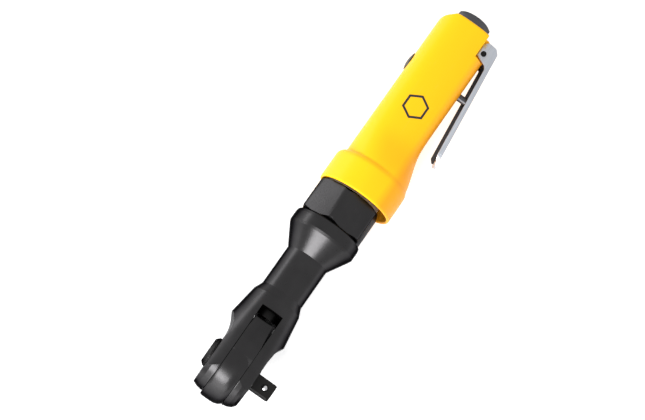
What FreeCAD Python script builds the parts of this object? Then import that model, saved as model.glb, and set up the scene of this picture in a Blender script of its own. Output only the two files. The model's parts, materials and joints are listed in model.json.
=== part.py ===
"""Pneumatic ratchet wrench with a 3/8 inch square drive, 36-tooth ratchet and 4:1 planetary motor.

Millimetres.  The pieces are drawn in the tool's own frame and shifted once, on export:
X runs along the tool from the drive axis (x = 0) to the air inlet, Y runs from the square
drive (minus) to the reverse knob (plus), and Z is up when the tool lies on its side.
"""
import FreeCAD, Part
import math
import os

from FreeCAD import Vector

X_AXIS = Vector(1, 0, 0)
Y_AXIS = Vector(0, 1, 0)
Z_AXIS = Vector(0, 0, 1)
ORIGIN = Vector(0, 0, 0)

# ---------------------------------------------------------------- driving dimensions
RUN = 0.05                  # radial clearance of a running fit

SQUARE = 9.525              # 3/8 inch drive
SQUARE_LENGTH = 12.0
SHOULDER_R = 6.9            # round shoulder between the ear and the square
SHOULDER_H = 0.6

EAR_DRIVE = -14.4           # outer face of the ear on the square's side
EAR_KNOB = 12.9             # outer face of the ear on the knob's side
EAR_R = 20.6
HEAD_R = 20.9
SLOT = (-7.3, 6.3)          # slot between the ears
SLOT_END = 36.0
YOKE = (-7.0, 6.0)          # side faces of the yoke
YOKE_R = 22.8
YOKE_ARM_END = 29.4
YOKE_ARM_HALF = 15.6
YOKE_RELIEF_Z = 11.5        # the yoke's sides are relieved only outside this half width
RATCHET_TEETH = 36
RATCHET_ROOT_R = 14.2
RATCHET_TIP_R = 13.0

ANVIL_R = 12.6
ANVIL_JOURNAL_R = 11.0
ANVIL_TOP = 9.3             # knob-side end of the anvil body
RING_Y = 11.05              # retaining ring over the washers on the anvil
BALL_R = 2.0                # detent ball in the square, facing +Z
BALL_Y = EAR_DRIVE - 7.1
BALL_Z = 3.6
DRUM_R = 5.95               # reverse drum, one piece with the knob
KNOB_Y = (EAR_KNOB + 0.1, 14.1, 16.0)
KNOB_R = 9.1
KNOB_TOP_R = 7.2
KNURL_COUNT = 40
PAWL_PIN_R = 1.5
PAWL_PIN_AT = 9.2           # pawl pin's distance from the drive axis
PAWL_TILT = 5.0             # degrees either side of the middle
DRUM_TILT = 30.0

CRANK_THROW = 2.45
CRANK_PIN_R = 2.5
BUSHING_R = 3.5
CRANK_R = 6.0
CRANK_FLANGE_R = 8.8
CRANK_FLANGE = (31.6, 36.5)
CRANK_END = 85.0
CRANK_HEX = 4.5             # half of the width across flats, in the planet carrier
CARRIER_X = (85.3, 88.0)
NECK_BORE_R = 9.5
NECK_R = 13.05
HEAD_BAND_R = 21.0
HEAD_END = 95.6

GEAR_MODULE = 0.8
SUN_TEETH = 12
PLANET_TEETH = 12
RING_TEETH = 36
PRESSURE_ANGLE = math.radians(20)
TOOTH_THINNING = 0.10       # backlash taken from each tooth at the pitch circle
PLANET_COUNT = 3
PLANET_AT = GEAR_MODULE * (SUN_TEETH + PLANET_TEETH) / 2
PLANET_PIN_R = 1.9
GEAR_TIP_R = 5.52           # sun and planets
GEAR_ROOT_R = 3.85
RING_TIP_R = 13.95
RING_ROOT_R = 15.35
PLANET_X = (88.4, 95.4)

RING_THREAD_R = 17.2        # ring gear in the head housing
NUT_THREAD_R = 16.25        # clamp nut on the ring gear and on the motor housing
NUT_FLAT = 18.4             # half of the nut's width across flats
NUT_CORNER_R = 20.8
NUT_X = (95.8, 117.0)
NUT_TURN = 39.8             # degrees from +Z to the first flat, toward the knob side

MOTOR_BORE_R = 13.8
MOTOR_WALL_R = 15.3
MOTOR_NOSE = 102.6
CYLINDER_X = (108.5, 157.0)
CHAMBER_R = 11.0            # motor chamber in the cylinder
CHAMBER_OFFSET = 1.25
ROTOR_R = 9.6
ROTOR_FRONT_R = 6.0         # journals in the motor's bearings
ROTOR_REAR_R = 3.0
PORT_R = 1.4                # exhaust ports
PORT_X = 124.0
PORT_STEP = 5.0
PORT_COUNT = 4
VANE_COUNT = 5
VANE_T = 1.5

JACKET_WALL = 1.7
JACKET_FRONT = 117.3
COLLAR_R = 23.05
COLLAR_Y = -2.0
COLLAR_END = 137.6
COLLAR_ROUND = 4.0
GRIP_KNOB = 17.4            # side of the grip toward the knob
GRIP_LEVER = -17.6          # side of the grip toward the lever
TAIL = 238.6                # end face of the grip
END_HOLE_R = 10.5
LUG_X = 223.6               # the grip narrows to a lug between the lever's ears
LUG_Y = -11.3
LUG_HALF = 6.4

PUSH_X = 202.5
PUSH_R = 2.25
PUSH_DOME = 3.2
VALVE_SEAT_X = 221.5
ROCKER_R = 0.6              # bead on the disc's rim that the valve tilts on
ROCKER_Y = -5.4
STEM_R = 1.6
STEM_BORE_R = 5.5
INLET_BORE_R = 7.6
INLET_THREAD_R = 8.6
INLET_END = 245.4
INLET_HEX = 10.15           # half of the width across flats
NPT_R = 5.7                 # 1/4 NPT female thread
NPT_LENGTH = 12.0

REGULATOR_X = 203.0
REGULATOR_R = 5.6
REGULATOR_Y = 16.9          # the cap sits in a shallow recess
REGULATOR_STEM_R = 3.4
REGULATOR_PIN = (206.1, 12.8)
REGULATOR_PIN_R = 0.8
AIR_PASSAGE_Y = 8.8

PIVOT = (230.0, -14.75)     # lever pin
LEVER_PIN_R = 1.6
LEVER_ANGLE = 5.84          # degrees to the tool axis when released
LEVER_SHEET = 1.4
LEVER_HALF = 8.0
LEVER_DROP = 7.45           # pivot to the lever's outer face
LEVER_REACH = 71.6
LEVER_LIP = 2.8             # flange on the +Z side
LEVER_LIP_BACK = 3.9        # flange on the -Z side

TO_ORIGIN = Vector(0, SHOULDER_H - EAR_DRIVE, 0)   # the square's root plane becomes y = 0


# ---------------------------------------------------------------- shape helpers
def rod(x0, x1, r, y=0.0, z=0.0):
    """Cylinder along X."""
    return Part.makeCylinder(r, x1 - x0, Vector(x0, y, z), X_AXIS)


def post(y0, y1, r, x=0.0, z=0.0):
    """Cylinder along Y."""
    return Part.makeCylinder(r, y1 - y0, Vector(x, y0, z), Y_AXIS)


def bar(z0, z1, r, x=0.0, y=0.0):
    """Cylinder along Z."""
    return Part.makeCylinder(r, z1 - z0, Vector(x, y, z0), Z_AXIS)


def tube(x0, x1, outer, inner):
    """Ring about the tool axis."""
    return rod(x0, x1, outer).cut(rod(x0, x1, inner))


def block(x0, x1, y0, y1, z0, z1):
    """Box between two corners."""
    return Part.makeBox(x1 - x0, y1 - y0, z1 - z0, Vector(x0, y0, z0))


def turned(profile):
    """Solid turned about the tool axis from (x, radius) points."""
    points = [Vector(x, r, 0) for x, r in profile]
    face = Part.Face(Part.makePolygon(points + points[:1]))
    return face.revolve(ORIGIN, X_AXIS, 360)


def spun(profile):
    """Solid turned about the drive axis from (radius, y) points."""
    points = [Vector(r, y, 0) for r, y in profile]
    face = Part.Face(Part.makePolygon(points + points[:1]))
    return face.revolve(ORIGIN, Y_AXIS, 360)


def side_prism(points, z0, z1):
    """Prism along Z over (x, y) points."""
    corners = [Vector(x, y, z0) for x, y in points]
    return Part.Face(Part.makePolygon(corners + corners[:1])).extrude(Vector(0, 0, z1 - z0))


def plan_prism(points, half):
    """Prism along Y over (x, z) points, centred on the tool axis."""
    corners = [Vector(x, -half, z) for x, z in points]
    return Part.Face(Part.makePolygon(corners + corners[:1])).extrude(Vector(0, 2 * half, 0))


def turned_about(shape, axis, degrees, centre=ORIGIN):
    """Copy of a shape turned about an axis."""
    copy = shape.copy()
    copy.rotate(centre, axis, degrees)
    return copy


def hexagon(x0, x1, flat, turn=0.0):
    """Hexagonal prism along X; the first flat's normal is turned from +Z toward +Y."""
    corner = flat / math.cos(math.pi / 6)
    points = []
    for k in range(6):
        angle = math.radians(turn + 30 + 60 * k)
        points.append(Vector(x0, corner * math.sin(angle), corner * math.cos(angle)))
    return Part.Face(Part.makePolygon(points + points[:1])).extrude(Vector(x1 - x0, 0, 0))


def coil(start, axis, radius, wire_r, length, turns):
    """Helical spring from start along axis."""
    path = Part.makeLongHelix(length / turns, length, radius)
    section = Part.Wire(Part.makeCircle(wire_r, Vector(radius, 0, 0), Y_AXIS))
    spring = Part.Wire(path).makePipeShell([section], True, True)
    spring.Placement = FreeCAD.Placement(start, FreeCAD.Rotation(Z_AXIS, axis))
    return spring


def combine(first, *others):
    """Union of shapes."""
    for other in others:
        first = first.fuse(other)
    return first.removeSplitter()


def bearing(name, x0, width, inner_r, outer_r, ball_r, count):
    """Deep-groove ball bearing: inner ring, outer ring and a set of balls."""
    pitch_r = (inner_r + outer_r) / 2
    mid = x0 + width / 2
    lip = 0.45 * ball_r
    groove = Part.makeTorus(pitch_r, ball_r + 0.02, Vector(mid, 0, 0), X_AXIS)
    ball = Part.makeSphere(ball_r, Vector(mid, 0, pitch_r))
    balls = [turned_about(ball, X_AXIS, 360 * k / count) for k in range(count)]
    return {
        name + "_inner": tube(x0, x0 + width, pitch_r - lip, inner_r).cut(groove),
        name + "_outer": tube(x0, x0 + width, outer_r, pitch_r + lip).cut(groove),
        name + "_balls": Part.makeCompound(balls),
    }


# ---------------------------------------------------------------- gear teeth
def involute(angle):
    return math.tan(angle) - angle


def half_tooth(teeth, radius, thinning):
    """Half of a tooth's angle at a radius, for an involute tooth."""
    pitch_r = GEAR_MODULE * teeth / 2
    base_r = pitch_r * math.cos(PRESSURE_ANGLE)
    at_pitch = math.pi / (2 * teeth) - thinning / (2 * pitch_r)
    local = math.acos(min(1.0, base_r / radius))
    return at_pitch + involute(PRESSURE_ANGLE) - involute(local)


def gear_prism(teeth, x0, x1, root_r, tip_r, thinning, phase=0.0):
    """Toothed prism along X with a tooth centred on the phase angle, from +Z toward -Y."""
    base_r = GEAR_MODULE * teeth / 2 * math.cos(PRESSURE_ANGLE)
    start_r = max(root_r, base_r)
    radii = [start_r + (tip_r - start_r) * k / 4 for k in range(5)]

    def at(radius, angle):
        return Vector(x0, -radius * math.sin(angle), radius * math.cos(angle))

    edges = []
    for k in range(teeth):
        mid = math.radians(phase) + 2 * math.pi * k / teeth
        following = mid + 2 * math.pi / teeth
        rise = [at(r, mid - half_tooth(teeth, r, thinning)) for r in radii]
        fall = [at(r, mid + half_tooth(teeth, r, thinning)) for r in reversed(radii)]
        foot = half_tooth(teeth, start_r, thinning)
        root_a = at(root_r, mid - foot)
        root_b = at(root_r, mid + foot)
        if start_r > root_r:
            edges.append(Part.LineSegment(root_a, rise[0]).toShape())
        edges.append(spline(rise))
        edges.append(Part.Arc(rise[-1], at(tip_r, mid), fall[0]).toShape())
        edges.append(spline(fall))
        if start_r > root_r:
            edges.append(Part.LineSegment(fall[-1], root_b).toShape())
        next_root = at(root_r, following - foot)
        edges.append(Part.Arc(root_b, at(root_r, (mid + following) / 2), next_root).toShape())
    face = Part.Face(Part.Wire(edges))
    return face.extrude(Vector(x1 - x0, 0, 0))


def spline(points, closed=False):
    curve = Part.BSplineCurve()
    curve.interpolate(points, PeriodicFlag=closed)
    return curve.toShape()


# ---------------------------------------------------------------- ratchet head
def ratchet_void(grow=0.0):
    """Space inside the yoke's V-shaped ratchet teeth."""
    points = []
    for k in range(RATCHET_TEETH):
        for turn, r in ((0.0, RATCHET_ROOT_R), (0.5, RATCHET_TIP_R)):
            angle = 2 * math.pi * (k + turn) / RATCHET_TEETH
            radius = r + grow
            points.append((-radius * math.cos(angle), radius * math.sin(angle)))
    return plan_prism(points, 9)


def head_housing():
    """Black forged head: two ears, flared body, neck, cone and threaded socket."""
    body = turned([(-23, 0), (-23, HEAD_R), (2, HEAD_R), (25.4, 17.9), (43.3, 15.25), (48.4, NECK_R),
                   (73.6, NECK_R), (86.2, 20.4), (87.6, HEAD_BAND_R), (93.0, HEAD_BAND_R),
                   (94.6, 20.7), (HEAD_END, 19.7), (HEAD_END, 0)])
    nose = spun([(0, EAR_DRIVE), (17.0, EAR_DRIVE), (18.9, -12.6), (20.0, -10.4), (EAR_R, -7.6),
                 (EAR_R, 7.0), (20.1, 10.0), (18.9, EAR_KNOB), (0, EAR_KNOB)])
    shape = body.common(combine(nose, block(0, 100, -30, 30, -30, 30)))
    sweep_r = 16.5
    sweep_x = 13.6
    knob_flat = block(-30, sweep_x, EAR_KNOB, 30, -30, 30)
    knob_sweep = bar(-30, 30, sweep_r, sweep_x, EAR_KNOB + sweep_r)
    drive_flat = side_prism([(-30, EAR_DRIVE), (11, EAR_DRIVE), (19, -15.2), (22.3, -16.5),
                             (25.3, -18.4), (27, -30), (-30, -30)], -30, 30)
    shape = shape.cut(knob_flat).cut(knob_sweep).cut(drive_flat)
    shape = shape.cut(block(-30, SLOT_END, *SLOT, -30, 30))
    shape = shape.cut(post(EAR_DRIVE - 1, 0, ANVIL_JOURNAL_R + RUN))
    shape = shape.cut(post(0, EAR_KNOB + 1, ANVIL_R + RUN))
    shape = shape.cut(post(RING_Y - 0.05, RING_Y + 0.95, 13.6))
    shape = shape.cut(rod(31, HEAD_END, NECK_BORE_R))
    shape = shape.cut(rod(79, HEAD_END, 12.0))
    shape = shape.cut(rod(85.1, HEAD_END, 13.6))
    return shape.cut(rod(87.3, HEAD_END + 1, RING_THREAD_R))


def yoke():
    """Ratchet yoke: toothed ring with a fork that the crank's bushing swings."""
    low, high = YOKE
    tip = math.hypot(YOKE_ARM_END, YOKE_ARM_HALF)
    leave = math.atan2(YOKE_ARM_HALF, YOKE_ARM_END) + math.acos(YOKE_R / tip)
    tangent = (YOKE_R * math.cos(leave), YOKE_R * math.sin(leave))
    upper = [(0, 20), tangent, (YOKE_ARM_END - 1.2, YOKE_ARM_HALF + 0.3),
             (YOKE_ARM_END, YOKE_ARM_HALF - 1)]
    arm = plan_prism(upper + [(x, -z) for x, z in reversed(upper)], 10)
    arm = arm.common(block(0, 40, low, high, -30, 30))
    ring = spun([(0, low), (YOKE_R - 2.2, low), (YOKE_R - 0.9, -5.2), (YOKE_R - 0.2, -3.0),
                 (YOKE_R, -0.5), (YOKE_R, 4.6), (YOKE_R - 0.5, high), (0, high)])
    slot_half = BUSHING_R + 2 * CRANK_THROW + 0.2
    fork = block(20.6, 40, -10, 10, -slot_half, slot_half)
    drive_taper = side_prism([(13.5, low - 1), (13.5, low), (YOKE_ARM_END + 1, -5.1),
                              (YOKE_ARM_END + 1, low - 1)], -30, 30)
    knob_taper = side_prism([(22, high + 1), (22, high), (YOKE_ARM_END - 1, 5.3),
                             (YOKE_ARM_END + 0.1, 4.4), (YOKE_ARM_END + 1, high + 1)], -30, 30)
    full_width = block(0, 40, -10, 10, -YOKE_RELIEF_Z, YOKE_RELIEF_Z)
    reliefs = drive_taper.fuse(knob_taper).cut(full_width)
    return combine(ring, arm).cut(ratchet_void()).cut(fork).cut(reliefs)


def anvil():
    """Square drive with its round journals, the pawl pocket and the drum bore."""
    root = EAR_DRIVE - SHOULDER_H
    tip_y = root - SQUARE_LENGTH
    step = SLOT[0] + 0.05
    body = spun([(0, ANVIL_TOP), (ANVIL_R, ANVIL_TOP), (ANVIL_R, step), (ANVIL_JOURNAL_R, step),
                 (ANVIL_JOURNAL_R, EAR_DRIVE), (SHOULDER_R, EAR_DRIVE), (SHOULDER_R, root),
                 (0, root)])
    half = SQUARE / 2
    square = block(-half, half, tip_y, root, -half, half)
    tip = spun([(0, tip_y), (5.2, tip_y), (6.5, tip_y + 1.3), (6.5, 0), (0, 0)])
    pocket = plan_prism(sector_points(5.9, 14.0, 48), 5.3)
    shape = combine(body, square.common(tip))
    shape = shape.cut(post(-5.5, ANVIL_TOP + 1, DRUM_R + RUN))
    shape = shape.cut(pocket)
    shape = shape.cut(post(-6.5, 6.5, PAWL_PIN_R, x=-PAWL_PIN_AT))
    return shape.cut(bar(-3.0, half + 1, 2.03, y=BALL_Y))


def sector_points(inner, outer, half_degrees, steps=8):
    """Ring sector around -X as (x, z) points."""
    angles = [math.radians(half_degrees * (2 * k / steps - 1)) for k in range(steps + 1)]
    far = [(-outer * math.cos(a), outer * math.sin(a)) for a in angles]
    near = [(-inner * math.cos(a), inner * math.sin(a)) for a in reversed(angles)]
    return far + near


def pawl():
    """Rocking pawl; its teeth are clear of the ratchet through the whole rock."""
    blank = plan_prism(sector_points(7.4, 14.1, 40, 16), 5.0)
    blank = blank.cut(plan_prism(sector_points(12.3, 16.0, 15, 6), 6.0))
    pin_at = Vector(-PAWL_PIN_AT, 0, 0)
    for step in range(-4, 5):
        void = turned_about(ratchet_void(-0.08), Y_AXIS, PAWL_TILT * step / 4, pin_at)
        blank = blank.common(void)
    blank = blank.cut(post(-6, 6, PAWL_PIN_R + RUN, x=-PAWL_PIN_AT))
    return turned_about(blank, Y_AXIS, PAWL_TILT, pin_at)


def head_parts():
    parts = {"head_housing": head_housing(), "yoke": yoke(), "anvil": anvil(), "pawl": pawl()}
    parts["pawl_pin"] = post(-6.5, 6.5, PAWL_PIN_R, x=-PAWL_PIN_AT)
    parts["detent_ball"] = Part.makeSphere(BALL_R, Vector(0, BALL_Y, BALL_Z))
    parts["detent_spring"] = coil(Vector(0, BALL_Y, -2.6), Z_AXIS, 1.35, 0.25, 3.9, 5)
    low, shoulder, high = KNOB_Y
    knob = spun([(0, -5.3), (DRUM_R, -5.3), (DRUM_R, low), (KNOB_R, low), (KNOB_R, shoulder),
                 (KNOB_TOP_R, high), (0, high)])
    knurl = post(low, shoulder + 0.2, 0.28, x=KNOB_R + 0.06)
    for k in range(KNURL_COUNT):
        knob = knob.cut(turned_about(knurl, Y_AXIS, 360 * k / KNURL_COUNT))
    socket = rod(-DRUM_R - 1, -0.6, 1.6)
    parts["reverse_knob"] = knob.cut(turned_about(socket, Y_AXIS, -DRUM_TILT))
    plunger = combine(rod(-6.9, -4.2, 1.55), Part.makeSphere(1.55, Vector(-5.7, 0, 0)))
    plunger = plunger.common(rod(-7.25, -4.2, 1.55))
    parts["pawl_plunger"] = turned_about(plunger, Y_AXIS, -DRUM_TILT)
    spring = coil(Vector(-4.0, 0, 0), X_AXIS, 1.1, 0.2, 3.1, 4)
    parts["pawl_spring"] = turned_about(spring, Y_AXIS, -DRUM_TILT)
    parts["thrust_washer"] = post(ANVIL_TOP + 0.05, 10.15, 12.55).cut(post(9, 11, 6.3))
    wave = post(10.2, 10.6, 12.4).cut(post(10, 11, 9.2))
    parts["wave_washer"] = combine(wave, *[wave_crest(120 * k) for k in range(3)])
    ring = post(RING_Y, RING_Y + 0.9, 13.5).cut(post(10, 13, 10.4))
    parts["retaining_ring"] = ring.cut(block(8, 15, 10, 13, -2.2, 2.2))
    return parts


def wave_crest(turn):
    """Raised crest of the wave washer."""
    crest = post(10.5, 11.0, 12.4).cut(post(10, 12, 9.2)).common(block(0, 20, 10, 12, -3, 3))
    return turned_about(crest, Y_AXIS, turn)


# ---------------------------------------------------------------- crank and planetary gears
def crank_parts():
    shaft = turned([(CRANK_FLANGE[0], 0), (CRANK_FLANGE[0], CRANK_FLANGE_R),
                    (CRANK_FLANGE[1], CRANK_FLANGE_R), (CRANK_FLANGE[1], CRANK_R),
                    (CRANK_END, CRANK_R), (CRANK_END, 0)])
    pin = rod(22.6, CRANK_FLANGE[0], CRANK_PIN_R, y=CRANK_THROW)
    parts = {"crankshaft": combine(shaft, pin, hexagon(CRANK_END, CARRIER_X[1], CRANK_HEX))}
    bushing = rod(22.9, 29.2, BUSHING_R, y=CRANK_THROW)
    parts["drive_bushing"] = bushing.cut(rod(22, 30, CRANK_PIN_R + RUN, y=CRANK_THROW))
    parts["crank_bush"] = tube(40.0, 56.0, NECK_BORE_R, CRANK_R + RUN)
    parts.update(bearing("crank_bearing", 79.0, 6.0, CRANK_R, 12.0, 1.75, 10))
    carrier = rod(*CARRIER_X, 13.2).cut(hexagon(CRANK_END, CARRIER_X[1] + 0.5, CRANK_HEX))
    pins = []
    for k in range(PLANET_COUNT):
        pin = rod(CARRIER_X[0], 95.8, PLANET_PIN_R, z=PLANET_AT)
        pins.append(turned_about(pin, X_AXIS, 360 * k / PLANET_COUNT))
        carrier = carrier.cut(pins[-1])
    parts["planet_carrier"] = carrier
    parts["planet_pins"] = Part.makeCompound(pins)
    gear = gear_prism(PLANET_TEETH, *PLANET_X, GEAR_ROOT_R, GEAR_TIP_R, TOOTH_THINNING, 15)
    gear = gear.cut(rod(80, 100, PLANET_PIN_R + RUN))
    gear.translate(Vector(0, 0, PLANET_AT))
    for k in range(PLANET_COUNT):
        parts[f"planet_gear_{k + 1}"] = turned_about(gear, X_AXIS, 360 * k / PLANET_COUNT)
    ring = combine(tube(87.3, HEAD_END, RING_THREAD_R, RING_TIP_R - 1),
                   tube(HEAD_END, MOTOR_NOSE - 0.1, NUT_THREAD_R, RING_TIP_R - 1))
    space = gear_prism(RING_TEETH, 87.0, 96.1, RING_TIP_R, RING_ROOT_R, -TOOTH_THINNING, 5)
    parts["ring_gear"] = ring.cut(space).cut(rod(96.1, 110, MOTOR_BORE_R))
    parts["gear_washer"] = tube(96.3, 97.4, MOTOR_BORE_R, 6.3)
    return parts


# ---------------------------------------------------------------- air motor
def exhaust_ports():
    """Row of slanted holes from the motor chamber to the space under the jacket's collar."""
    ports = [bar(-30, 0, PORT_R, x=PORT_X + PORT_STEP * k, y=-6.0) for k in range(PORT_COUNT)]
    return [turned_about(port, X_AXIS, -35) for port in ports]


def motor_parts():
    plate = tube(98.5, CYLINDER_X[0], MOTOR_BORE_R, 6.4).cut(rod(98, 104.5, 10.5))
    parts = bearing("front_bearing", 99.5, 5.0, ROTOR_FRONT_R, 10.5, 1.2, 12)
    front, rear = CYLINDER_X
    cylinder = rod(front, rear, MOTOR_BORE_R)
    cylinder = cylinder.cut(rod(front - 1, rear + 1, CHAMBER_R, y=-CHAMBER_OFFSET))
    pin = rod(front - 3.0, front + 4.0, 0.8, y=MOTOR_BORE_R - 1.3)
    for port in exhaust_ports():
        cylinder = cylinder.cut(port)
    parts["cylinder"] = cylinder.cut(pin)
    parts["front_end_plate"] = plate.cut(pin)
    parts["cylinder_pin"] = pin
    rotor = combine(rod(front + 0.2, rear - 0.2, ROTOR_R), rod(99.2, front + 0.2, ROTOR_FRONT_R),
                    rod(rear - 0.2, 165.5, ROTOR_REAR_R),
                    gear_prism(SUN_TEETH, 88.4, 99.2, GEAR_ROOT_R, GEAR_TIP_R, TOOTH_THINNING))
    vanes = []
    for k in range(VANE_COUNT):
        vane = block(front + 0.2, rear - 0.2, -VANE_T / 2, VANE_T / 2, 4.2, 11)
        vane = turned_about(vane, X_AXIS, 360 * k / VANE_COUNT)
        rotor = rotor.cut(vane)
        vanes.append(vane.common(rod(front + 0.3, rear - 0.3, ROTOR_R - 0.1)))
    parts["rotor"] = rotor
    parts["rotor_vanes"] = Part.makeCompound(vanes)
    plate = tube(rear, 165.6, MOTOR_BORE_R, 3.3).cut(rod(160.2, 166, 7.5))
    for k in range(4):
        plate = plate.cut(rod(rear - 1, 167, 1.3, y=9.8 * math.cos(0.45 * k), z=9.8 * math.sin(0.45 * k)))
    parts["rear_end_plate"] = plate
    parts.update(bearing("rear_bearing", 160.4, 5.0, ROTOR_REAR_R, 7.5, 1.2, 8))
    return parts


# ---------------------------------------------------------------- grip
def grip_section(x, top, bottom, half_width, power, inset):
    """Closed superellipse section of the grip, pulled in by the inset."""
    centre = (top + bottom) / 2
    half_height = (top - bottom) / 2 - inset
    points = []
    for k in range(32):
        angle = 2 * math.pi * k / 32
        c, s = math.cos(angle), math.sin(angle)
        y = centre + half_height * math.copysign(abs(c) ** (2 / power), c)
        z = (half_width - inset) * math.copysign(abs(s) ** (2 / power), s)
        points.append(Vector(x, y, z))
    return Part.Wire([spline(points, closed=True)])


GRIP_SECTIONS = [            # x, lever side, half width, squareness
    (126.0, -25.1, 21.4, 2.1),
    (133.0, -24.9, 21.2, 2.1),
    (140.0, -23.6, 20.4, 2.2),
    (147.0, -21.5, 19.4, 2.4),
    (154.0, -19.2, 18.4, 2.7),
    (160.0, -17.9, 18.0, 2.9),
    (168.0, GRIP_LEVER, 17.9, 2.9),
    (190.0, GRIP_LEVER, 17.9, 2.9),
    (TAIL, GRIP_LEVER, 17.6, 2.9),
]


def grip_body(inset):
    """Outer form of the grip without its front collar."""
    wires = [grip_section(x, GRIP_KNOB, *rest, inset) for x, *rest in GRIP_SECTIONS]
    body = Part.makeLoft(wires, True, True)
    knob_side = GRIP_KNOB - inset
    knob_corner = side_prism([(TAIL - 5.0, 30), (TAIL - 5.0, knob_side), (TAIL - 3.6, knob_side - 1.5),
                              (TAIL - 2.2, knob_side - 4), (TAIL - 0.6, knob_side - 7),
                              (TAIL, knob_side - 9), (TAIL + 5, knob_side - 9), (TAIL + 5, 30)], -40, 40)
    lever_side = GRIP_LEVER + inset
    lever_corner = side_prism([(TAIL - 3.4, -30), (TAIL - 3.4, lever_side), (TAIL, lever_side + 4.3),
                               (TAIL + 5, lever_side + 4.3), (TAIL + 5, -30)], -40, 40)
    body = body.cut(knob_corner).cut(lever_corner)
    for side in (-1, 1):
        near, far = sorted((side * (LUG_HALF - inset), side * 40))
        body = body.cut(block(LUG_X - inset, TAIL + 5, -40, LUG_Y + inset, near, far))
    return body


def collar(inset, x0):
    """Round collar at the front of the grip, with a rounded rear shoulder."""
    r = COLLAR_R - inset
    end = COLLAR_END - inset
    form = rod(x0, end, r, y=COLLAR_Y)
    shoulder = [edge for edge in form.Edges if abs(edge.BoundBox.Center.x - end) < 0.01]
    return form.makeFillet(COLLAR_ROUND, shoulder)


def motor_housing():
    """Aluminium housing: threaded nose, motor bore, valve chamber and inlet thread."""
    grip = grip_body(JACKET_WALL).common(block(142, TAIL - JACKET_WALL, -40, 40, -40, 40))
    shape = combine(rod(MOTOR_NOSE, NUT_X[1], NUT_THREAD_R), rod(NUT_X[1], 121, 17.0),
                    rod(121, 143, MOTOR_WALL_R), grip, rod(TAIL - 3, TAIL, END_HOLE_R))
    shape = shape.cut(rod(MOTOR_NOSE - 1, 165.8, MOTOR_BORE_R))
    shape = shape.cut(rod(198.0, VALVE_SEAT_X - 2, STEM_BORE_R))
    shape = shape.cut(rod(VALVE_SEAT_X - 2, 232.5, INLET_BORE_R))
    shape = shape.cut(rod(232.5, TAIL + 1, INLET_THREAD_R)).cut(rod(TAIL - 1.0, TAIL + 1, 9.9))
    shape = shape.cut(rod(164, 200.5, 2.2, y=AIR_PASSAGE_Y))
    shape = shape.cut(post(0, 20, REGULATOR_STEM_R + RUN, x=REGULATOR_X))
    shape = shape.cut(bar(-5, 20, REGULATOR_PIN_R, *REGULATOR_PIN))
    shape = shape.cut(post(-20, 0, PUSH_R + RUN, x=PUSH_X))
    shape = shape.cut(post(-12.7, -11.3, PUSH_R + 1.26, x=PUSH_X))
    shape = shape.cut(bar(-20, 20, LEVER_PIN_R, *PIVOT))
    for port in exhaust_ports():
        shape = shape.cut(port)
    return shape


def grip_jacket():
    """Yellow overmoulded jacket: grip shell, front collar open as the exhaust, and lug."""
    shell = combine(collar(0, JACKET_FRONT), grip_body(0))
    void = combine(collar(JACKET_WALL, JACKET_FRONT - 1), grip_body(JACKET_WALL))
    void = void.common(block(0, TAIL - JACKET_WALL, -50, 50, -50, 50))
    shell = shell.cut(void).cut(rod(TAIL - 5, TAIL + 1, END_HOLE_R))
    shell = shell.cut(post(10, 20, REGULATOR_STEM_R + 0.2, x=REGULATOR_X))
    shell = shell.cut(post(REGULATOR_Y - 0.1, 20, REGULATOR_R + 0.2, x=REGULATOR_X))
    shell = shell.cut(post(-20, -10, PUSH_R + 0.6, x=PUSH_X))
    return shell.cut(bar(-20, 20, LEVER_PIN_R, *PIVOT))


def grip_parts():
    parts = {"motor_housing": motor_housing(), "grip_jacket": grip_jacket()}
    nut = hexagon(*NUT_X, NUT_FLAT, NUT_TURN)
    front, rear = NUT_X
    nut = nut.common(turned([(front, 0), (front, 18.5), (front + 1.6, NUT_CORNER_R),
                             (rear - 1.6, NUT_CORNER_R), (rear, 18.5), (rear, 0)]))
    parts["clamp_nut"] = nut.cut(rod(90, 130, NUT_THREAD_R))
    duct = collar(JACKET_WALL, 125.0).common(block(125, 133, -40, -6, -40, 40))
    duct = duct.cut(rod(120, 140, MOTOR_WALL_R))
    parts["exhaust_muffler"] = duct.common(collar(JACKET_WALL, 118))
    return parts


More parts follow.
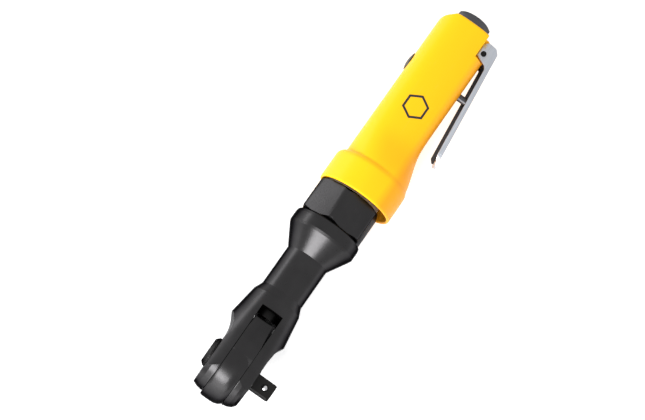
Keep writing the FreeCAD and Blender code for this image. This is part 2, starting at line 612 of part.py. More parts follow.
# ---------------------------------------------------------------- valve, regulator and inlet
def valve_parts():
    seat = VALVE_SEAT_X
    parts = {"push_pin": push_pin()}
    parts["push_pin_seal"] = Part.makeTorus(PUSH_R + 0.62, 0.6, Vector(PUSH_X, -12, 0), Y_AXIS)
    parts["valve_seat"] = tube(seat - 2, seat, INLET_BORE_R, 4.2)
    disc = turned([(seat, 0), (seat, 5.4), (seat + 0.6, 6.0), (seat + 1.6, 6.0), (seat + 2.6, 3.2),
                   (seat + 3.4, 3.2), (seat + 3.4, 0)])
    rocker = bar(-2.5, 2.5, ROCKER_R, seat + ROCKER_R, ROCKER_Y)
    parts["tilt_valve"] = combine(disc, rod(PUSH_X - 3.0, seat, STEM_R), rocker)
    parts["valve_spring"] = coil(Vector(seat + 3.1, 0, 0), X_AXIS, 4.2, 0.4, 6.6, 4)
    screen = rod(231.9, 232.5, INLET_BORE_R - 0.1)
    for ring, count in ((2.2, 6), (4.6, 12)):
        for k in range(count):
            angle = 2 * math.pi * k / count
            screen = screen.cut(rod(231, 233, 0.8, y=ring * math.cos(angle), z=ring * math.sin(angle)))
    parts["inlet_screen"] = screen
    hexed = hexagon(TAIL, INLET_END, INLET_HEX, 26)
    hexed = hexed.common(turned([(TAIL, 0), (TAIL, 12), (INLET_END - 1.4, 11.4),
                                 (INLET_END, 9.6), (INLET_END, 0)]))
    bushing = combine(hexed, rod(232.5, TAIL, INLET_THREAD_R))
    bushing = bushing.cut(rod(INLET_END - NPT_LENGTH, INLET_END + 1, NPT_R))
    parts["inlet_bushing"] = bushing.cut(rod(230, 240, 5.0))
    parts["inlet_seal"] = Part.makeTorus(9.25, 0.5, Vector(TAIL - 0.5, 0, 0), X_AXIS)
    return parts


def push_pin():
    """Pin between the lever and the valve stem, with domed ends."""
    slope = math.radians(LEVER_ANGLE)
    web_y = PIVOT[1] - (LEVER_DROP - LEVER_SHEET) / math.cos(slope)
    web_y -= (PIVOT[0] - PUSH_X) * math.tan(slope)
    low = web_y + (PUSH_DOME + 0.1) / math.cos(slope) - PUSH_DOME
    high = -STEM_R - 0.15
    pin = post(low, high, PUSH_R, x=PUSH_X)
    ends = Part.makeSphere(PUSH_DOME, Vector(PUSH_X, low + PUSH_DOME, 0))
    ends = ends.fuse(post(low + PUSH_DOME, high - PUSH_DOME, PUSH_DOME, x=PUSH_X))
    ends = ends.fuse(Part.makeSphere(PUSH_DOME, Vector(PUSH_X, high - PUSH_DOME, 0)))
    return pin.common(ends)


def regulator_parts():
    """Air regulator: a capped stem with a cross hole, its seal and its retaining pin."""
    surface = REGULATOR_Y
    knob = post(surface, surface + 1.0, REGULATOR_R, x=REGULATOR_X)
    dome_r = 16.0
    dome = Part.makeSphere(dome_r, Vector(REGULATOR_X, surface + 2.0 - dome_r, 0))
    cap = dome.common(post(surface + 1.0, surface + 2.5, REGULATOR_R, x=REGULATOR_X))
    knob = combine(knob, cap, post(5.9, surface, REGULATOR_STEM_R, x=REGULATOR_X))
    slot = block(REGULATOR_X - 4.2, REGULATOR_X + 4.2, surface + 0.9, surface + 3, -0.6, 0.6)
    knob = knob.cut(slot).cut(post(5, 11.0, 2.0, x=REGULATOR_X))
    knob = knob.cut(rod(REGULATOR_X - 5, REGULATOR_X, 1.5, y=AIR_PASSAGE_Y))
    groove = post(11.9, 13.7, 5, x=REGULATOR_X).cut(post(11.9, 13.7, 2.25, x=REGULATOR_X))
    gland = post(14.1, 15.1, 5, x=REGULATOR_X).cut(post(14.1, 15.1, 2.5, x=REGULATOR_X))
    parts = {"regulator_knob": knob.cut(groove).cut(gland)}
    parts["regulator_seal"] = Part.makeTorus(2.97, 0.45, Vector(REGULATOR_X, 14.6, 0), Y_AXIS)
    parts["regulator_pin"] = bar(-5, 10.0, REGULATOR_PIN_R, *REGULATOR_PIN)
    return parts


# ---------------------------------------------------------------- throttle lever
def lever_side(lip):
    """Side outline of the pressed lever, with a flange of the given height."""
    px, py = PIVOT
    face = py - LEVER_DROP
    tip = px - LEVER_REACH
    return [(tip, face - 0.6), (tip + 4, face), (px + 3.4, face), (px + 6.4, face + 2.3),
            (px + 7.3, py - 0.2), (px + 5.2, py + 2.4), (px - 2.5, py + 3.2), (px - 4.8, py - 1.2),
            (px - 6.0, py - 3.5), (px - 8.0, face + lip), (tip + 6, face + lip),
            (tip + 2.0, face + LEVER_SHEET), (tip, face + LEVER_SHEET - 0.6)]


def throttle_lever():
    """Pressed sheet lever: web, two flanges and two ears, drawn pressed and then let go."""
    px, py = PIVOT
    face = py - LEVER_DROP
    tip = px - LEVER_REACH
    inner = LEVER_HALF - LEVER_SHEET
    outline = combine(side_prism(lever_side(LEVER_LIP), 0, LEVER_HALF),
                      side_prism(lever_side(LEVER_LIP_BACK), -LEVER_HALF, 0))
    hollow = side_prism([(tip + 2.0, face + LEVER_SHEET), (px + 20, face + LEVER_SHEET),
                         (px + 20, py + 20), (tip - 1, py + 20)], -inner, inner)
    plan = block(tip + 7, px + 20, -60, 0, -LEVER_HALF, LEVER_HALF)
    plan = combine(plan, post(-60, 0, LEVER_HALF - 0.01, x=tip + 8.0),
                   block(tip + 4, tip + 8, -60, 0, -6.8, 6.8))
    lever = outline.cut(hollow).common(plan)
    lever = lever.cut(bar(-20, 20, LEVER_PIN_R + RUN, px, py))
    return turned_about(lever, Z_AXIS, LEVER_ANGLE, Vector(px, py, 0))


def lever_parts():
    return {"throttle_lever": throttle_lever(), "lever_pin": bar(-8.3, 8.3, LEVER_PIN_R, *PIVOT)}


# ---------------------------------------------------------------- export
def main():
    os.makedirs("parts", exist_ok=True)
    parts = {}
    for group in (head_parts, crank_parts, motor_parts, grip_parts, valve_parts,
                  regulator_parts, lever_parts):
        parts.update(group())
    for name, shape in sorted(parts.items()):
        shape.translate(TO_ORIGIN)
        shape.exportStep(f"parts/{name}.step")
        print(f"{name:22s} solids {len(shape.Solids)}  valid {shape.isValid()}  {shape.Volume:10.2f} mm3")


main()
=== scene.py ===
"""Pneumatic ratchet wrench lying on its side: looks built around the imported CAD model."""
import json
import math

import bmesh
import bpy
import numpy as np
from mathutils import Matrix, Vector


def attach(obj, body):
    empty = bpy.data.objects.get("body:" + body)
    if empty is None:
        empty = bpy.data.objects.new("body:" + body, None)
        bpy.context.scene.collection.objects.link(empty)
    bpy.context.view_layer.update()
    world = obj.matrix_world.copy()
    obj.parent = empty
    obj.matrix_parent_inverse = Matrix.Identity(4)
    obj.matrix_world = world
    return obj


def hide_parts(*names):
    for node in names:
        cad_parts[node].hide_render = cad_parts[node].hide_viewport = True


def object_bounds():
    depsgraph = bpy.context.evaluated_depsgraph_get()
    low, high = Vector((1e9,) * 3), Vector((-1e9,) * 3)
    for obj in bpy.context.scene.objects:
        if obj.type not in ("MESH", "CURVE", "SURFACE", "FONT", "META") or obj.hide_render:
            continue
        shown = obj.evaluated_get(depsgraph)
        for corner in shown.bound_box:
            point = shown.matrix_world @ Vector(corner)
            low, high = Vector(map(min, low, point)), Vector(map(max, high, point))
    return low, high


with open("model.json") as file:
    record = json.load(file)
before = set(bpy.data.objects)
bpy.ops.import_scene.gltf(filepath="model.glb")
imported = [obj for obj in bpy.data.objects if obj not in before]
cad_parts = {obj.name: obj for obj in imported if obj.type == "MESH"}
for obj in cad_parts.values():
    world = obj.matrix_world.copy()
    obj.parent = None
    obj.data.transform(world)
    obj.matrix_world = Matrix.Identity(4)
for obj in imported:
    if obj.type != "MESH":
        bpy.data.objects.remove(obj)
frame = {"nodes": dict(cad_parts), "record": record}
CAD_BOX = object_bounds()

MM = 0.001
MOUNTS = {mount["name"]: mount for mount in frame["record"]["mounts"]}
AXIS_Y = MOUNTS["air_inlet"]["pos_m"][1]          # the tool's long axis, above the drive's root


# ---------------------------------------------------------------- shader expressions
class Sock:
    """A shader socket that adds Math nodes when used in an expression."""

    def __init__(self, tree, socket):
        self.tree = tree
        self.socket = socket

    def math(self, operation, other=None, swap=False):
        """Add one Math node on this socket and another socket or number."""
        node = self.tree.nodes.new("ShaderNodeMath")
        node.operation = operation
        values = [self] if other is None else [self, other]
        if swap:
            values.reverse()
        for slot, value in zip(node.inputs, values):
            plug(self.tree, slot, value)
        return Sock(self.tree, node.outputs[0])

    def __add__(self, other):
        return self.math("ADD", other)

    __radd__ = __add__

    def __mul__(self, other):
        return self.math("MULTIPLY", other)

    __rmul__ = __mul__

    def __sub__(self, other):
        return self.math("SUBTRACT", other)

    def __rsub__(self, other):
        return self.math("SUBTRACT", other, swap=True)

    def __truediv__(self, other):
        return self.math("DIVIDE", other)

    def ramp(self, low, high):
        """0 below low, 1 above high, and straight between them."""
        share = (self - low) / (high - low)
        return share.math("MAXIMUM", 0.0).math("MINIMUM", 1.0)


def plug(tree, slot, value):
    """Link a socket or set a plain value."""
    if isinstance(value, Sock):
        tree.links.new(value.socket, slot)
    else:
        slot.default_value = value


class Finish:
    """One material: a Principled shader and the nodes that feed it."""

    def __init__(self, name, **uniform):
        self.material = bpy.data.materials.new(name)
        self.material.use_nodes = True
        self.tree = self.material.node_tree
        self.shader = self.tree.nodes["Principled BSDF"]
        for socket, value in uniform.items():
            self.shader.inputs[socket.replace("_", " ")].default_value = value

    def node(self, kind, settings=None, output=0, numbered=None, **named):
        """Add a node: settings first, then the values or links of its sockets, by name or by number."""
        node = self.tree.nodes.new("ShaderNode" + kind)
        for key, value in (settings or {}).items():
            setattr(node, key, value)
        for key, value in named.items():
            plug(self.tree, node.inputs[key.replace("_", " ")], value)
        for number, value in (numbered or {}).items():
            plug(self.tree, node.inputs[number], value)
        return Sock(self.tree, node.outputs[output])

    def noise(self, scale, detail=4.0, rough=0.55, stretch=None):
        """Noise over the piece, scale in features per metre."""
        vector = self.node("TexCoord", output=3)
        if stretch:
            vector = self.node("Mapping", Vector=vector, Scale=stretch)
        return self.node("TexNoise", Vector=vector, Scale=scale, Detail=detail, Roughness=rough)

    def cells(self, scale):
        """Small cells over the piece, scale in cells per metre."""
        return self.node("TexVoronoi", Vector=self.node("TexCoord", output=3), Scale=scale)

    def colour(self, factor, first, second):
        """Mix two colours: the first at factor 0, the second at factor 1."""
        first, second = (end if isinstance(end, Sock) else (*end, 1.0) for end in (first, second))
        return self.node("Mix", {"data_type": "RGBA"}, 2, {6: first, 7: second}, Factor=factor)

    def feed(self, **inputs):
        """Link what varies over the surface to the shader."""
        for socket, value in inputs.items():
            plug(self.tree, self.shader.inputs[socket.replace("_", " ")], value)

    def bump(self, height, strength, distance):
        """Fine relief that only bends the surface's normal."""
        normal = self.node("Bump", Height=height, Strength=strength, Distance=distance)
        plug(self.tree, self.shader.inputs["Normal"], normal)


# ---------------------------------------------------------------- finishes
def black_oxide(name, tone, rough, grain=1.0):
    """Blackened forged steel: oiled mottle, fine grain, rubbed specks and faint scratches."""
    finish = Finish(name, Metallic=1.0, Specular_Tint=(0.20, 0.20, 0.21, 1.0))
    broad = finish.noise(45.0, 3.0)
    fine = finish.noise(1400.0, 5.0, 0.62)
    scratches = finish.noise(1500.0, 2.0, 0.5, (0.12, 1.0, 1.0)).ramp(0.68, 0.78)
    specks = finish.noise(2600.0, 2.0).ramp(0.68, 0.76)
    rubbed = 0.22 * specks + 0.10 * scratches
    body = finish.colour(broad.ramp(0.3, 0.7), tone, tuple(1.35 * c for c in tone))
    finish.feed(Base_Color=finish.colour(rubbed, body, (0.11, 0.108, 0.105)),
                Roughness=rough + 0.10 * broad + 0.10 * fine - 0.08 * scratches)
    finish.bump(fine - 0.5 * scratches, 0.10 * grain, 0.0002)
    return finish.material


def turned_steel(name, tone, rough, lay, warm=0.0):
    """Bare machined metal with its tool marks drawn out along the lay."""
    finish = Finish(name, Metallic=1.0)
    marks = finish.noise(1100.0, 3.0, 0.6, lay)
    broad = finish.noise(80.0, 3.0)
    stain = finish.noise(160.0, 4.0, 0.6).ramp(0.58, 0.75)
    darker = tuple(0.72 * c for c in tone)
    body = finish.colour(marks.ramp(0.35, 0.65), darker, tone)
    oiled = (0.45 * tone[0] + 0.05 * warm, 0.42 * tone[1], 0.38 * tone[2])
    finish.feed(Base_Color=finish.colour(0.4 * stain, body, oiled),
                Roughness=rough + 0.14 * broad + 0.08 * marks)
    finish.bump(marks, 0.12, 0.0002)
    return finish.material


def moulded(name, tone, rough, grain, spread=0.8):
    """Rubber, plastic or felt with a fine grain and slightly uneven gloss."""
    finish = Finish(name)
    broad = finish.noise(70.0, 3.0)
    fine = finish.noise(1900.0, 5.0, 0.65)
    finish.feed(Base_Color=finish.colour(broad.ramp(0.3, 0.7), tone, tuple(spread * c for c in tone)),
                Roughness=rough + 0.10 * broad + 0.08 * fine)
    finish.bump(fine, grain, 0.0003)
    return finish.material


def yellow_jacket():
    """Overmoulded grip: faint orange peel, flow mottle, painted shade as a deeper orange on the lever side,
    small scuffs.
    """
    finish = Finish("yellow_jacket", Coat_Roughness=0.30, Specular_IOR_Level=0.16)
    peel = finish.noise(520.0, 3.0, 0.5)
    flow = finish.noise(26.0, 4.0, 0.6, (0.45, 1.0, 1.0))
    fine = finish.noise(2400.0, 4.0, 0.6)
    scuffs = finish.noise(700.0, 2.0, 0.5, (0.10, 1.0, 1.0)).ramp(0.68, 0.75)
    handled = finish.noise(60.0, 4.0, 0.6).ramp(0.55, 0.75)
    width_place = finish.node("SeparateXYZ", output=1, Vector=finish.node("TexCoord", output=3))
    # painted shade: the grip's lever side is tinted deeper orange to stand for the shade on its underside
    painted_shade_lever_side = (AXIS_Y - 11.5 * MM - width_place).ramp(0.0, 5.0 * MM)
    body = finish.colour(flow.ramp(0.3, 0.7), (0.95, 0.520, 0.004), (0.96, 0.485, 0.005))
    body = finish.colour(0.85 * painted_shade_lever_side, body, (0.88, 0.330, 0.008))
    finish.feed(Base_Color=finish.colour(0.18 * scuffs, body, (0.80, 0.45, 0.05)),
                Roughness=0.42 + 0.07 * handled + 0.05 * fine + 0.10 * scuffs,
                Coat_Weight=0.04 - 0.03 * handled)
    finish.bump(0.7 * peel + 0.3 * fine - 0.4 * scuffs, 0.07, 0.0003)
    return finish.material


def lever_nickel():
    """Nickel-plated pressed sheet: brushed along its length, its inside painted near-black as shade, with
    handling haze and pits.
    """
    finish = Finish("lever_nickel", Metallic=1.0)
    brushed = finish.noise(1500.0, 3.0, 0.6, (0.035, 1.0, 1.0))
    haze = finish.noise(120.0, 4.0, 0.6)
    pits = finish.noise(3200.0, 2.0).ramp(0.70, 0.78)
    facing = finish.node("SeparateXYZ", output=2, Vector=finish.node("TexCoord", output=1))
    depth = finish.node("SeparateXYZ", output=2, Vector=finish.node("TexCoord", output=3))
    # painted shade: the inner face of the far flange is turned near-black to stand for the shadow inside
    # the channel
    inside = facing.ramp(0.4, 0.6) * (-4.0 * MM - depth).ramp(0.0, 0.5 * MM)
    body = finish.colour(brushed.ramp(0.3, 0.7), (0.50, 0.53, 0.58), (0.66, 0.69, 0.75))
    body = finish.colour(0.92 * inside, body, (0.030, 0.028, 0.027))
    finish.feed(Base_Color=finish.colour(0.5 * pits, body, (0.16, 0.15, 0.14)),
                Roughness=0.27 + 0.12 * haze + 0.10 * brushed)
    finish.bump(brushed - 0.4 * pits, 0.10, 0.0002)
    return finish.material


def woven_screen():
    """Brass strainer with a fine woven relief."""
    finish = Finish("filter_mesh", Metallic=1.0)
    weave = finish.cells(2600.0)
    haze = finish.noise(240.0)
    finish.feed(Base_Color=finish.colour(haze, (0.60, 0.44, 0.19), (0.42, 0.30, 0.13)),
                Roughness=0.38 + 0.16 * haze)
    finish.bump(weave, 0.25, 0.0002)
    return finish.material


def laminate():
    """Fibre-filled vane composite with layers along the blade."""
    finish = Finish("vane_composite")
    layers = finish.noise(1300.0, 3.0, 0.6, (0.04, 1.0, 1.0))
    finish.feed(Base_Color=finish.colour(layers.ramp(0.35, 0.65), (0.30, 0.15, 0.07), (0.20, 0.10, 0.05)),
                Roughness=0.55 + 0.15 * layers)
    finish.bump(layers, 0.15, 0.0002)
    return finish.material


ALONG = (0.05, 1.0, 1.0)                          # marks drawn out along the tool
ROUND = (1.0, 0.05, 0.05)                         # marks drawn out round its axis
EVEN = (1.0, 1.0, 1.0)
MATERIALS = {
    "black_oxide_steel": black_oxide("black_oxide_steel", (0.038, 0.0372, 0.0382), 0.20),
    "dark_drive_steel": black_oxide("dark_drive_steel", (0.021, 0.0205, 0.0205), 0.30, 0.8),
    "gunmetal_steel": black_oxide("gunmetal_steel", (0.092, 0.092, 0.098), 0.30, 1.2),
    "ground_steel": turned_steel("ground_steel", (0.55, 0.55, 0.56), 0.24, ROUND),
    "bearing_ball_steel": turned_steel("bearing_ball_steel", (0.80, 0.80, 0.82), 0.07, EVEN),
    "spring_steel": turned_steel("spring_steel", (0.28, 0.27, 0.26), 0.32, ALONG),
    "bronze": turned_steel("bronze", (0.60, 0.38, 0.17), 0.30, ROUND, 1.0),
    "cast_iron": turned_steel("cast_iron", (0.22, 0.22, 0.23), 0.46, EVEN),
    "housing_aluminium": turned_steel("housing_aluminium", (0.62, 0.62, 0.63), 0.38, EVEN),
    "vane_composite": laminate(),
    "yellow_jacket": yellow_jacket(),
    "lever_nickel": lever_nickel(),
    "black_plastic": moulded("black_plastic", (0.016, 0.016, 0.016), 0.36, 0.10),
    "seal_rubber": moulded("seal_rubber", (0.014, 0.014, 0.014), 0.58, 0.15),
    "filter_mesh": woven_screen(),
    "felt": moulded("felt", (0.20, 0.17, 0.13), 0.88, 0.5, 0.6),
}
SLOTS = {part["node"]: part["material_slot"] for part in frame["record"]["subparts"]}
for node_name, slot_name in SLOTS.items():
    cad_mesh = frame["nodes"][node_name].data
    cad_mesh.materials.clear()
    cad_mesh.materials.append(MATERIALS[slot_name])


# ---------------------------------------------------------------- piece helpers
def add_piece(name, mesh, body, slot_name, stands_for=None, crease=35.0):
    """Put a mesh in the scene as a smooth-shaded piece that rides a body."""
    piece = bpy.data.objects.new(name, mesh)
    bpy.context.scene.collection.objects.link(piece)
    mesh.materials.clear()
    mesh.materials.append(MATERIALS[slot_name])
    mesh.polygons.foreach_set("use_smooth", [True] * len(mesh.polygons))
    mesh.set_sharp_from_angle(angle=math.radians(crease))
    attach(piece, body)
    if stands_for:
        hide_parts(stands_for)
    return piece


def worked(mesh, modifiers):
    """The mesh after a list of modifiers, each given as (type, settings)."""
    blank = bpy.data.objects.new("blank", mesh)
    bpy.context.scene.collection.objects.link(blank)
    for kind, settings in modifiers:
        modifier = blank.modifiers.new(kind.lower(), kind)
        for key, value in settings.items():
            setattr(modifier, key, value)
    bpy.context.view_layer.update()
    result = bpy.data.meshes.new_from_object(blank.evaluated_get(bpy.context.evaluated_depsgraph_get()))
    bpy.data.objects.remove(blank)
    return result


def clean_copy(node_name):
    """A CAD node's mesh, joined up, with its flat faces whole again."""
    source = frame["nodes"][node_name].data
    mesh = bpy.data.meshes.new(node_name + "_edges")
    mesh.from_pydata([v.co[:] for v in source.vertices], [], [p.vertices[:] for p in source.polygons])
    shape = bmesh.new()
    shape.from_mesh(mesh)
    bmesh.ops.remove_doubles(shape, verts=shape.verts, dist=1e-6)
    bmesh.ops.dissolve_limit(shape, angle_limit=math.radians(0.6), verts=shape.verts, edges=shape.edges)
    shape.to_mesh(mesh)
    shape.free()
    return mesh


def eased(node_name, body, width):
    """A CAD node with its corners broken by a small radius, width in millimetres."""
    corner = {"width": width * MM, "segments": 3, "limit_method": "ANGLE",
              "angle_limit": math.radians(32.0), "miter_outer": "MITER_ARC"}
    mesh = worked(clean_copy(node_name), [("BEVEL", corner)])
    return add_piece(node_name + "_eased", mesh, body, SLOTS[node_name], node_name)


def ring_mesh(name, rings):
    """Closed mesh over rings of points, its last ring joined to its first."""
    count = len(rings[0])
    points = [tuple(p) for ring in rings for p in ring]
    faces = []
    for k in range(len(rings)):
        a, b = k * count, (k + 1) % len(rings) * count
        for j in range(count):
            n = (j + 1) % count
            faces.append((a + j, a + n, b + n, b + j))
    mesh = bpy.data.meshes.new(name)
    mesh.from_pydata(points, [], faces)
    shape = bmesh.new()
    shape.from_mesh(mesh)
    bmesh.ops.recalc_face_normals(shape, faces=shape.faces)
    shape.to_mesh(mesh)
    shape.free()
    return mesh


# ---------------------------------------------------------------- yellow grip jacket
# Tool millimetres: x along the tool, y from its axis towards the knob, z up.
KNOB_SIDE = 17.4                                  # the grip's back, on the knob's side
FRONT, TAIL = 117.3, 238.6
RIM_ROUND, TAIL_ROUND, CORNER_SHARE = 0.9, 1.0, 0.8
WALL = 1.7
END_HOLE = 10.5
GRIP = np.array([            # x, lever side, half width, squareness
    (117.0, -25.1, 22.3, 2.1), (126.0, -25.1, 22.3, 2.1), (133.0, -24.9, 22.2, 2.1),
    (140.0, -23.6, 21.6, 2.2), (147.0, -21.5, 20.2, 2.4), (154.0, -19.2, 18.7, 2.7),
    (160.0, -17.9, 18.0, 2.9), (168.0, -17.6, 17.9, 2.9), (190.0, -17.6, 17.9, 2.9),
    (240.0, -17.6, 17.6, 2.9)])
LUG_X, LUG_Y, LUG_HALF = 223.6, -11.3, 6.4        # lever lug: front, flat beside it, half thickness
COLLAR_R, COLLAR_Y, COLLAR_END, COLLAR_ROUND = 23.05, -2.0, 137.6, 4.0
COLLAR_REACH, COLLAR_FALL, COLLAR_BLEND = 3.0, 3.0, 0.6   # past its end: length, slope; join
TAPER_LENGTH = 7.0                                # both sides draw in towards the tail
KNOB_TAPER = np.array([      # x from the tail, distance from the axis
    (-7.0, 18.4), (-5.0, 17.3), (-3.6, 15.9), (-2.2, 13.5), (-0.6, 11.3), (0.0, 10.7)])
LEVER_TAPER = np.array([(-5.0, 18.4), (-3.4, 17.6), (0.0, 13.3)])
SMALL = 1e-3                                      # keeps a division from reaching zero


def grip_at(x):
    """Lever side, half width and squareness of the grip at x, eased between its sections."""
    spots = x + np.array([-4.0, -2.0, 0.0, 2.0, 4.0])
    weights = np.array([1.0, 2.0, 3.0, 2.0, 1.0]) / 9.0
    return [float(np.interp(spots, GRIP[:, 0], GRIP[:, k]) @ weights) for k in (1, 2, 3)]


def grip_radius(x, c, s):
    """Radius of the bare grip, found by halving towards its skin; c and s give the direction."""
    low, half, power = grip_at(x)
    centre, height = (KNOB_SIDE + low) / 2, (KNOB_SIDE - low) / 2
    near, far = np.zeros_like(c), np.full_like(c, 45.0)
    for _ in range(40):
        mid = (near + far) / 2
        inside = np.abs((mid * c - centre) / height) ** power + np.abs(mid * s / half) ** power < 1
        near, far = np.where(inside, mid, near), np.where(inside, far, mid)
    return near


def collar_radius(x, c, s):
    """Radius of the exhaust collar, round at its rear edge, about an axis COLLAR_Y off the tool's."""
    past = x - (COLLAR_END - COLLAR_ROUND)
    big = COLLAR_R
    if past > 0:
        arc = math.sqrt(max(0.0, COLLAR_ROUND ** 2 - min(past, COLLAR_ROUND) ** 2))
        big = COLLAR_R - COLLAR_ROUND + arc - COLLAR_FALL * max(0.0, past - COLLAR_ROUND)
    return COLLAR_Y * c + np.sqrt(big ** 2 - (COLLAR_Y * s) ** 2)


def corner_depth(reach, size):
    """How far a rounded corner lies below the skin, reach into it."""
    return (size - math.sqrt(max(0.0, size * size - reach * reach))) * CORNER_SHARE


def jacket_radius(x, turn):
    """Outer radius of the jacket about the tool axis; turn 0 faces the knob."""
    c, s = np.cos(turn), np.sin(turn)
    radius = grip_radius(x, c, s)
    if x < COLLAR_END + COLLAR_REACH:
        collar = collar_radius(x, c, s)
        gap = np.abs(radius - collar)
        radius = np.maximum(radius, collar) + COLLAR_BLEND * np.log1p(np.exp(-gap / COLLAR_BLEND))
    if x > TAIL - TAPER_LENGTH:
        knob_limit = np.interp(x, TAIL + KNOB_TAPER[:, 0], KNOB_TAPER[:, 1])
        lever_limit = np.interp(x, TAIL + LEVER_TAPER[:, 0], LEVER_TAPER[:, 1])
        limit = np.where(c > 0, knob_limit, lever_limit) / np.maximum(np.abs(c), SMALL)
        radius = np.minimum(radius, limit)
    if x > LUG_X:
        notch = np.maximum(-LUG_Y / np.maximum(-c, SMALL), LUG_HALF / np.maximum(np.abs(s), SMALL))
        radius = np.minimum(radius, notch)
    radius = radius - corner_depth(max(0.0, FRONT + RIM_ROUND - x), RIM_ROUND)
    radius = radius - corner_depth(max(0.0, x - (TAIL - TAIL_ROUND)), TAIL_ROUND)
    return np.maximum(radius, END_HOLE + 0.15)


def jacket_mesh():
    """Closed shell: outer skin, end face, end hole, inner wall and front rim."""
    turn = np.linspace(0, 2 * math.pi, 240, endpoint=False)

    def ring(x, radius):
        return [(x * MM, AXIS_Y + r * math.cos(a) * MM, r * math.sin(a) * MM) for r, a in zip(radius, turn)]

    # the rings stand closest at the rim, the collar's edge, the lug and the tail
    skin = [FRONT, FRONT + 0.15, FRONT + 0.4, FRONT + RIM_ROUND]
    skin += list(np.arange(119.5, 132.0, 2.0)) + list(np.arange(132.0, 141.0, 0.4))
    skin += list(np.arange(141.5, LUG_X - 1.0, 2.0)) + [LUG_X - 0.25, LUG_X + 0.05, LUG_X + 0.6]
    skin += list(np.arange(225.5, 233.0, 1.5)) + list(np.arange(233.2, TAIL - 1.0, 0.4))
    skin += [TAIL - 0.9, TAIL - 0.6, TAIL - 0.3, TAIL - 0.1, TAIL]
    rings = [ring(x, jacket_radius(x, turn)) for x in skin]
    hole = np.full_like(turn, END_HOLE)
    rings += [ring(TAIL, hole + 0.05), ring(TAIL - 1.0, hole), ring(TAIL - WALL, hole)]
    deep = [TAIL - WALL] + list(np.arange(234.0, LUG_X, -1.5)) + list(np.arange(222.0, 142.0, -4.0))
    deep += list(np.arange(141.0, 131.0, -0.8)) + [128.0, 122.0, FRONT + 0.6]
    for x in deep:
        rings.append(ring(x, np.maximum(jacket_radius(min(x, TAIL - 2.5), turn) - WALL, END_HOLE + 0.02)))
    rings.append(ring(FRONT, jacket_radius(FRONT + RIM_ROUND, turn) - WALL + 0.5))
    return ring_mesh("jacket_skin", rings)


def drill(mesh, axis, start, end, radius):
    """Cut a round hole through a mesh, along a straight line in tool millimetres."""
    cutter_mesh = bpy.data.meshes.new("drill")
    tool = bmesh.new()
    bmesh.ops.create_cone(tool, cap_ends=True, segments=48, radius1=radius * MM, radius2=radius * MM,
                          depth=(Vector(end) - Vector(start)).length * MM)
    tool.to_mesh(cutter_mesh)
    tool.free()
    middle = (Vector(start) + Vector(end)) / 2 * MM + Vector((0, AXIS_Y, 0))
    turn = Vector((0, 0, 1)).rotation_difference(Vector(axis)).to_matrix().to_4x4()
    cutter_mesh.transform(Matrix.Translation(middle) @ turn)
    cutter = bpy.data.objects.new("drill", cutter_mesh)
    bpy.context.scene.collection.objects.link(cutter)
    cut = worked(mesh, [("BOOLEAN", {"object": cutter, "operation": "DIFFERENCE", "solver": "EXACT"})])
    bpy.data.objects.remove(cutter)
    return cut


REGULATOR_X, PUSH_X = 203.0, 202.5
PIVOT = (230.0, -14.75)                           # lever pin
ACROSS, UP = (0, 1, 0), (0, 0, 1)
HOLES = [                    # axis, start, end, radius
    (ACROSS, (REGULATOR_X, 16.8, 0), (REGULATOR_X, 20.0, 0), 5.8),      # recess for the regulator's head
    (ACROSS, (REGULATOR_X, 10.0, 0), (REGULATOR_X, 17.5, 0), 3.6),      # regulator
    (ACROSS, (PUSH_X, -20.0, 0), (PUSH_X, -12.0, 0), 2.85),             # push pin
    (UP, (*PIVOT, -9.0), (*PIVOT, 9.0), 1.6)]                           # lever pin
jacket = jacket_mesh()
for hole in HOLES:
    jacket = drill(jacket, *hole)
add_piece("jacket_moulding", jacket, "housing", "yellow_jacket", "grip_jacket", 40.0)


# ---------------------------------------------------------------- plain hexagon mark on the grip
def hexagon_mark():
    """Raised even-width hexagon outline that follows the grip's upper side."""
    centre_x, outer, line_width, proud = 177.9, 7.9, 1.5, 0.12
    inner, chamfer, steps = outer - line_width, 0.12, 8
    low, half, power = grip_at(centre_x)
    middle, height = (KNOB_SIDE + low) / 2, (KNOB_SIDE - low) / 2

    def on_grip(x, y, lift):
        z = half * (1 - abs((y - middle) / height) ** power) ** (1 / power) + lift
        return (x * MM, AXIS_Y + y * MM, z * MM)

    rings = []
    for radius, lift in ((outer, -0.1), (outer, 0.6 * proud), (outer - chamfer, proud),
                         (inner + chamfer, proud), (inner, 0.6 * proud), (inner, -0.1)):
        corners = [(radius * math.cos(math.radians(60 * k)), radius * math.sin(math.radians(60 * k)))
                   for k in range(7)]
        line = []
        for (x0, y0), (x1, y1) in zip(corners, corners[1:]):
            line += [on_grip(centre_x + x0 + (x1 - x0) * t / steps, y0 + (y1 - y0) * t / steps, lift)
                     for t in range(steps)]
        rings.append(line)
    return ring_mesh("mark_outline", rings)


add_piece("hexagon_mark", hexagon_mark(), "housing", "black_plastic")

# ---------------------------------------------------------------- steel pieces with broken corners
eased("clamp_nut", "housing", 0.45)
eased("inlet_bushing", "housing", 0.4)
eased("yoke", "yoke", 0.5)

# ---------------------------------------------------------------- throttle lever
LEVER_ANGLE = 5.84                                # degrees the released lever stands off the grip
LEVER_DROP = 7.45                                 # from its pivot to the outer face of its web
OUTER_DEPTH = 0.75                                # edges this near that face are drawn round


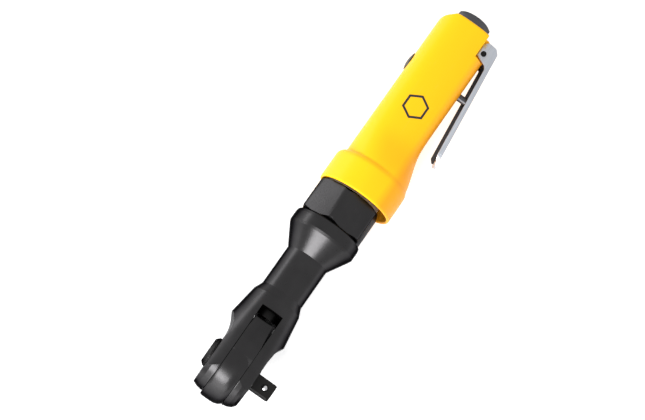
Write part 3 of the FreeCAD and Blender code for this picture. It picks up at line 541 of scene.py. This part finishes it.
def pressed_lever():
    """The lever with the outer edge of its web drawn round, as a press leaves it."""
    pivot = Vector((PIVOT[0] * MM, AXIS_Y + PIVOT[1] * MM, 0))
    level = Matrix.Rotation(math.radians(-LEVER_ANGLE), 4, "Z")
    mesh = clean_copy("throttle_lever")
    shape = bmesh.new()
    shape.from_mesh(mesh)
    weight = shape.edges.layers.float.new("bevel_weight_edge")
    for edge in shape.edges:
        drops = [-(level @ (vert.co - pivot)).y / MM for vert in edge.verts]
        outer = min(drops) > LEVER_DROP - OUTER_DEPTH
        if outer and edge.calc_face_angle(0.0) > math.radians(30):
            edge[weight] = 1.0
    shape.to_mesh(mesh)
    shape.free()
    bend = {"width": 1.1 * MM, "segments": 5, "limit_method": "WEIGHT"}
    burr = {"width": 0.18 * MM, "segments": 2, "limit_method": "ANGLE", "angle_limit": math.radians(40)}
    mesh = worked(mesh, [("BEVEL", bend), ("BEVEL", burr)])
    return add_piece("lever_pressing", mesh, "lever", "lever_nickel", "throttle_lever")


pressed_lever()

# ---------------------------------------------------------------- floor, light and camera
FLOOR_Z = CAD_BOX[0][2]
FLOOR_GAP = 0.2 * MM
bpy.ops.mesh.primitive_plane_add(size=6.0, location=(0.1, 0, FLOOR_Z - FLOOR_GAP))
floor = bpy.context.object
floor.name = "floor"
floor_finish = Finish("floor_white", Roughness=0.9, Base_Color=(0.9, 0.9, 0.9, 1.0),
                      Emission_Color=(1, 1, 1, 1), Emission_Strength=0.42)
floor.data.materials.append(floor_finish.material)


def area_light(name, place, target, size, power):
    """A soft rectangular lamp at place that faces target."""
    data = bpy.data.lights.new(name, "AREA")
    data.shape = "RECTANGLE"
    data.size, data.size_y = size
    data.energy = power
    light = bpy.data.objects.new(name, data)
    light.location = place
    light.rotation_euler = (Vector(target) - Vector(place)).to_track_quat("-Z", "Y").to_euler()
    bpy.context.scene.collection.objects.link(light)


world = bpy.data.worlds.new("studio")
world.use_nodes = True
background = world.node_tree.nodes["Background"]
background.inputs["Color"].default_value = (1, 1, 1, 1)
background.inputs["Strength"].default_value = 0.80
bpy.context.scene.world = world
area_light("end_panel", (-0.90, 0.22, 0.80), (0.05, 0.015, 0), (0.98, 0.46), 19.0)
area_light("front_panel", (-1.25, -0.15, 0.30), (0.0, 0.015, 0), (1.2, 0.5), 6.0)
area_light("side_panel", (0.10, 1.20, 0.17), (0.10, 0.015, 0.02), (1.2, 0.26), 4.4)
bpy.context.scene.view_settings.view_transform = "Standard"

CAMERA_AT = Vector((-0.1601, 0.03103 + AXIS_Y, 1.1851))
LOOK_AT = Vector((0.10204, 0.00901 + AXIS_Y, 0.0))
ROLL_ANGLE = math.radians(34.66)                  # from the tool axis to the view's upright
ROLL_UP = Vector((math.cos(ROLL_ANGLE), math.sin(ROLL_ANGLE), 0.0))
back = (CAMERA_AT - LOOK_AT).normalized()
right = ROLL_UP.cross(back).normalized()
camera_data = bpy.data.cameras.new("camera")
camera_data.lens = 120
camera = bpy.data.objects.new("camera", camera_data)
facing = Matrix((right, back.cross(right), back)).transposed().to_4x4()
camera.matrix_world = Matrix.Translation(CAMERA_AT) @ facing
bpy.context.scene.collection.objects.link(camera)
bpy.context.scene.camera = camera
